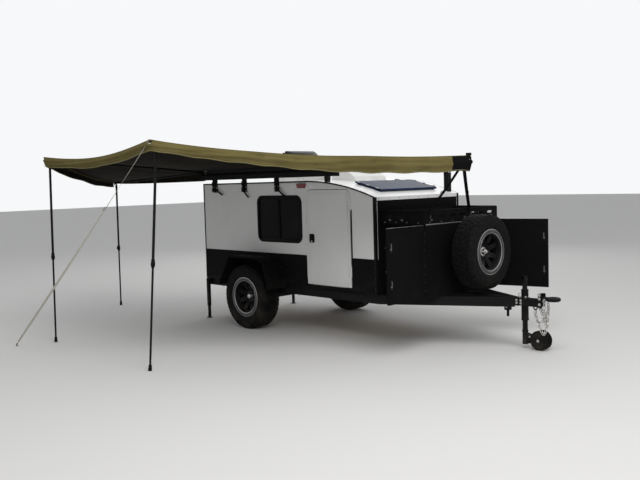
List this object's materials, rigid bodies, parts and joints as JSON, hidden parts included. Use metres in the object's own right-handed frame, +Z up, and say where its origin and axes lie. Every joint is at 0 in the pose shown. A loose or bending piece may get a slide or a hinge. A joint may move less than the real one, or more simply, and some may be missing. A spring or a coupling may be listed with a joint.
{
  "type": "off-road teardrop trailer",
  "caption": "Off-road teardrop trailer on its wheels, jack and rear legs, with front box, roof rack, spare wheel and a fan awning on poles.",
  "frame": {"origin": "centre of the coupling ring's hole", "axes": "+X forward along the tongue, +Y to the trailer's left, +Z up; the ground is at z = -0.570"},
  "size_m": [7.0881, 4.507, 2.302],
  "materials": {
    "white_paint": "smooth composite sheet, satin",
    "black_panel": "fine textured coating, matt",
    "plywood": "clear varnish",
    "black_trim": "moulded, satin",
    "dark_glass": "tinted acrylic",
    "mattress_cloth": "woven cover",
    "chassis_black": "powder coat, satin",
    "jack_black": "powder coat, satin",
    "zinc_steel": "zinc plated",
    "jack_rubber": "matt",
    "tyre_rubber": "matt",
    "wheel_grey": "satin with bright lip",
    "hub_iron": "rough",
    "guard_black": "textured coating",
    "vent_white": "moulded",
    "smoked_plastic": "gloss",
    "solar_glass": "gloss over dark cells",
    "pole_black": "anodised, satin",
    "olive_canvas": "ripstop canvas",
    "grey_webbing": "woven strap",
    "red_lens": "lens"
  },
  "bodies": {
    "trailer": {"roof": "white_paint", "right_wall": "white_paint", "left_wall": "white_paint", "right_lower_wall": "black_panel", "left_lower_wall": "black_panel", "rear_lower_wall": "black_panel", "front_wall": "black_panel", "floor": "plywood", "window_frames": "black_trim", "window_glass": "dark_glass", "galley_cabinet": "plywood", "mattress": "mattress_cloth", "chassis_rails": "chassis_black", "tongue": "chassis_black", "rear_bumper": "chassis_black", "leg_brackets": "chassis_black", "coupler": "chassis_black", "jack_outer_tube": "jack_black", "spare_tyre": "tyre_rubber", "spare_rim": "wheel_grey", "axle_beam": "chassis_black", "swing_arms": "chassis_black", "mudguards": "guard_black", "front_box": "black_panel", "cargo_tray": "black_panel", "spare_carrier": "chassis_black", "vent_base": "vent_white", "vent_cover": "vent_white", "solar_panel": "solar_glass", "roof_lamp": "black_trim", "rack_rails": "chassis_black", "rack_feet": "chassis_black", "awning_base": "chassis_black", "awning_arms": "pole_black", "awning_fabric": "olive_canvas", "guy_strap": "grey_webbing", "lights": "red_lens"},
    "right_wheel": {"right_tyre": "tyre_rubber", "right_rim": "wheel_grey", "right_hub": "hub_iron"},
    "left_wheel": {"left_tyre": "tyre_rubber", "left_rim": "wheel_grey", "left_hub": "hub_iron"},
    "right_door": {"right_door": "white_paint"},
    "left_door": {"left_door": "white_paint"},
    "rear_hatch": {"rear_hatch": "white_paint"},
    "right_box_door": {"right_box_door": "black_panel"},
    "left_box_door": {"left_box_door": "black_panel"},
    "jack_leg": {"jack_inner_tube": "zinc_steel"},
    "jack_caster": {"jack_fork": "jack_black"},
    "jack_wheel": {"jack_wheel": "jack_rubber"},
    "right_rear_leg": {"right_rear_leg": "chassis_black"},
    "left_rear_leg": {"left_rear_leg": "chassis_black"},
    "vent_lid": {"vent_lid": "smoked_plastic"},
    "pole_right_front": {"pole_right_front": "pole_black"},
    "pole_right_rear": {"pole_right_rear": "pole_black"},
    "pole_rear": {"pole_rear": "pole_black"}
  },
  "joints": [
    {"name": "right_wheel_spin", "type": "hinge", "parent": "trailer", "child": "right_wheel", "pos_m": [-3.75, -0.9095, -0.162], "axis": [0, 1, 0], "continuous": true},
    {"name": "left_wheel_spin", "type": "hinge", "parent": "trailer", "child": "left_wheel", "pos_m": [-3.75, 0.9095, -0.162], "axis": [0, 1, 0], "continuous": true},
    {"name": "right_door_hinge", "type": "hinge", "parent": "trailer", "child": "right_door", "pos_m": [-2.107, -0.7683, 0.63], "axis": [0, 0, 1], "range_deg": [0, 110]},
    {"name": "left_door_hinge", "type": "hinge", "parent": "trailer", "child": "left_door", "pos_m": [-2.107, 0.7683, 0.63], "axis": [0, 0, -1], "range_deg": [0, 110]},
    {"name": "rear_hatch_hinge", "type": "hinge", "parent": "trailer", "child": "rear_hatch", "pos_m": [-4.9183, 0, 1.247], "axis": [0, 1, 0], "range_deg": [0, 88]},
    {"name": "right_box_door_hinge", "type": "hinge", "parent": "trailer", "child": "right_box_door", "pos_m": [-1.1157, -0.669, 0.39], "axis": [0, 0, 1], "range_deg": [-90, 80]},
    {"name": "left_box_door_hinge", "type": "hinge", "parent": "trailer", "child": "left_box_door", "pos_m": [-1.1157, 0.669, 0.39], "axis": [0, 0, -1], "range_deg": [-167, 3]},
    {"name": "jack_slide", "type": "slide", "parent": "trailer", "child": "jack_leg", "axis": [0, 0, 1], "range_m": [-0.2, 0.09]},
    {"name": "jack_swivel", "type": "hinge", "parent": "jack_leg", "child": "jack_caster", "pos_m": [-0.402, 0.115, -0.45], "axis": [0, 0, 1], "continuous": true},
    {"name": "jack_wheel_spin", "type": "hinge", "parent": "jack_caster", "child": "jack_wheel", "pos_m": [-0.212, 0.115, -0.465], "axis": [0, 1, 0], "continuous": true},
    {"name": "right_rear_leg_hinge", "type": "hinge", "parent": "trailer", "child": "right_rear_leg", "pos_m": [-4.852, -0.785, -0.05], "axis": [0, -1, 0], "range_deg": [0, 90]},
    {"name": "left_rear_leg_hinge", "type": "hinge", "parent": "trailer", "child": "left_rear_leg", "pos_m": [-4.852, 0.785, -0.05], "axis": [0, -1, 0], "range_deg": [0, 90]},
    {"name": "vent_lid_hinge", "type": "hinge", "parent": "trailer", "child": "vent_lid", "pos_m": [-3.454, 0, 1.358], "axis": [0, 1, 0], "range_deg": [-40, 20]},
    {"name": "pole_right_front_hinge", "type": "hinge", "parent": "trailer", "child": "pole_right_front", "pos_m": [-2.642, -2.9556, 1.66714], "axis": [1, 0, 0], "range_deg": [0, 45]},
    {"name": "pole_right_rear_hinge", "type": "hinge", "parent": "trailer", "child": "pole_right_rear", "pos_m": [-4.91755, -2.98042, 1.59037], "axis": [0.998, -0.0638, 0], "range_deg": [0, 70]},
    {"name": "pole_rear_hinge", "type": "hinge", "parent": "trailer", "child": "pole_rear", "pos_m": [-6.9521, -0.93785, 1.29939], "axis": [0.0359, -0.9994, 0], "range_deg": [0, 93]}
  ]
}
